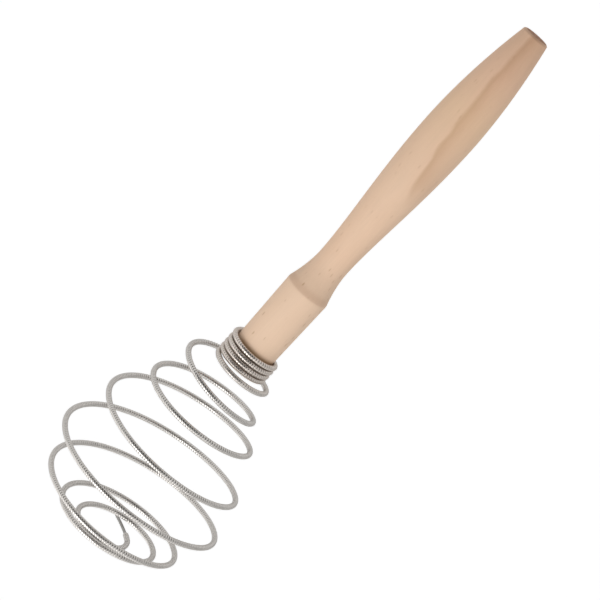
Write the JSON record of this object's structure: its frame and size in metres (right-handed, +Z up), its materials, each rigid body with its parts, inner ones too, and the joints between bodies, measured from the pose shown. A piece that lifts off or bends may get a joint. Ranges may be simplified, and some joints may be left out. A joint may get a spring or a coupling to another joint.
{
  "type": "spiral whisk",
  "caption": "Hand whisk with a turned wooden handle and a springy pear-shaped spiral of covered steel wire, for beating and blending",
  "frame": {"origin": "on the handle's axis at its widest place, where the hand closes round it", "axes": "+Z up the handle to its flat end, -Z to the tip of the spiral; the picture looks along +Y, with +X to the right when the handle is upright"},
  "size_m": [0.0816, 0.0785, 0.2696],
  "materials": {
    "beech": "turned and sanded, bare, fine grain",
    "core_steel": "drawn steel wire",
    "wrap_steel": "fine bright steel wire, close-wound round the core"
  },
  "bodies": {
    "handle": {"handle": "beech", "core_anchor": "core_steel", "core_coil": "core_steel", "wrap_coil": "wrap_steel", "core_turn1_front": "core_steel", "wrap_turn1_front": "wrap_steel"},
    "turn1_back": {"core_turn1_back": "core_steel", "wrap_turn1_back": "wrap_steel"},
    "turn2_front": {"core_turn2_front": "core_steel", "wrap_turn2_front": "wrap_steel"},
    "turn2_back": {"core_turn2_back": "core_steel", "wrap_turn2_back": "wrap_steel"},
    "turn3_front": {"core_turn3_front": "core_steel", "wrap_turn3_front": "wrap_steel"},
    "turn3_back": {"core_turn3_back": "core_steel", "wrap_turn3_back": "wrap_steel"},
    "turn4_front": {"core_turn4_front": "core_steel", "wrap_turn4_front": "wrap_steel"},
    "turn4_back": {"core_turn4_back": "core_steel", "wrap_turn4_back": "wrap_steel"},
    "turn5_front": {"core_turn5_front": "core_steel", "wrap_turn5_front": "wrap_steel"},
    "turn5_back": {"core_turn5_back": "core_steel", "wrap_turn5_back": "wrap_steel", "core_turn6_front": "core_steel", "wrap_turn6_front": "wrap_steel"},
    "tip": {"core_turn6_back": "core_steel", "wrap_turn6_back": "wrap_steel", "core_turn7_front": "core_steel", "wrap_turn7_front": "wrap_steel", "core_turn7_back": "core_steel", "wrap_turn7_back": "wrap_steel", "core_turn8_front": "core_steel", "wrap_turn8_front": "wrap_steel", "core_tail": "core_steel", "wrap_tail": "wrap_steel"}
  },
  "joints": [
    {"name": "compress_turn1_back", "type": "slide", "parent": "handle", "child": "turn1_back", "axis": [0, 0, 1], "range_m": [0, 0.001], "stiffness_N_per_m": 1200},
    {"name": "spiral_bend", "type": "hinge", "parent": "turn1_back", "child": "turn2_front", "pos_m": [-0.0005, 0, -0.13706], "axis": [0, 1, 0], "range_deg": [-3.5, 3.5], "stiffness_Nm_per_rad": 0.6},
    {"name": "compress_turn2_back", "type": "slide", "parent": "turn2_front", "child": "turn2_back", "axis": [0, 0, 1], "range_m": [0, 0.003], "stiffness_N_per_m": 400},
    {"name": "bend_turn3_front", "type": "hinge", "parent": "turn2_back", "child": "turn3_front", "pos_m": [0.001, 0, -0.15106], "axis": [0, 1, 0], "range_deg": [-3.5, 3.5], "stiffness_Nm_per_rad": 0.6},
    {"name": "compress_turn3_back", "type": "slide", "parent": "turn3_front", "child": "turn3_back", "axis": [0, 0, 1], "range_m": [0, 0.0055], "stiffness_N_per_m": 218},
    {"name": "bend_turn4_front", "type": "hinge", "parent": "turn3_back", "child": "turn4_front", "pos_m": [0.001, 0, -0.16931], "axis": [0, 1, 0], "range_deg": [-3.5, 3.5], "stiffness_Nm_per_rad": 0.6},
    {"name": "spiral_compress", "type": "slide", "parent": "turn4_front", "child": "turn4_back", "axis": [0, 0, 1], "range_m": [0, 0.007], "stiffness_N_per_m": 171},
    {"name": "bend_turn5_front", "type": "hinge", "parent": "turn4_back", "child": "turn5_front", "pos_m": [0.00025, 0, -0.18981], "axis": [0, 1, 0], "range_deg": [-3.5, 3.5], "stiffness_Nm_per_rad": 0.6},
    {"name": "compress_turn5_back", "type": "slide", "parent": "turn5_front", "child": "turn5_back", "axis": [0, 0, 1], "range_m": [0, 0.006], "stiffness_N_per_m": 200},
    {"name": "compress_tip", "type": "slide", "parent": "turn5_back", "child": "tip", "axis": [0, 0, 1], "range_m": [0, 0.0015], "stiffness_N_per_m": 800}
  ],
  "couplings": [
    {"joint": "compress_turn1_back", "follows": "spiral_compress", "ratio": 0.14286},
    {"joint": "compress_turn2_back", "follows": "spiral_compress", "ratio": 0.42857},
    {"joint": "compress_turn3_back", "follows": "spiral_compress", "ratio": 0.78571},
    {"joint": "compress_turn5_back", "follows": "spiral_compress", "ratio": 0.85714},
    {"joint": "compress_tip", "follows": "spiral_compress", "ratio": 0.21429},
    {"joint": "bend_turn3_front", "follows": "spiral_bend", "ratio": 1},
    {"joint": "bend_turn4_front", "follows": "spiral_bend", "ratio": 1},
    {"joint": "bend_turn5_front", "follows": "spiral_bend", "ratio": 1}
  ]
}
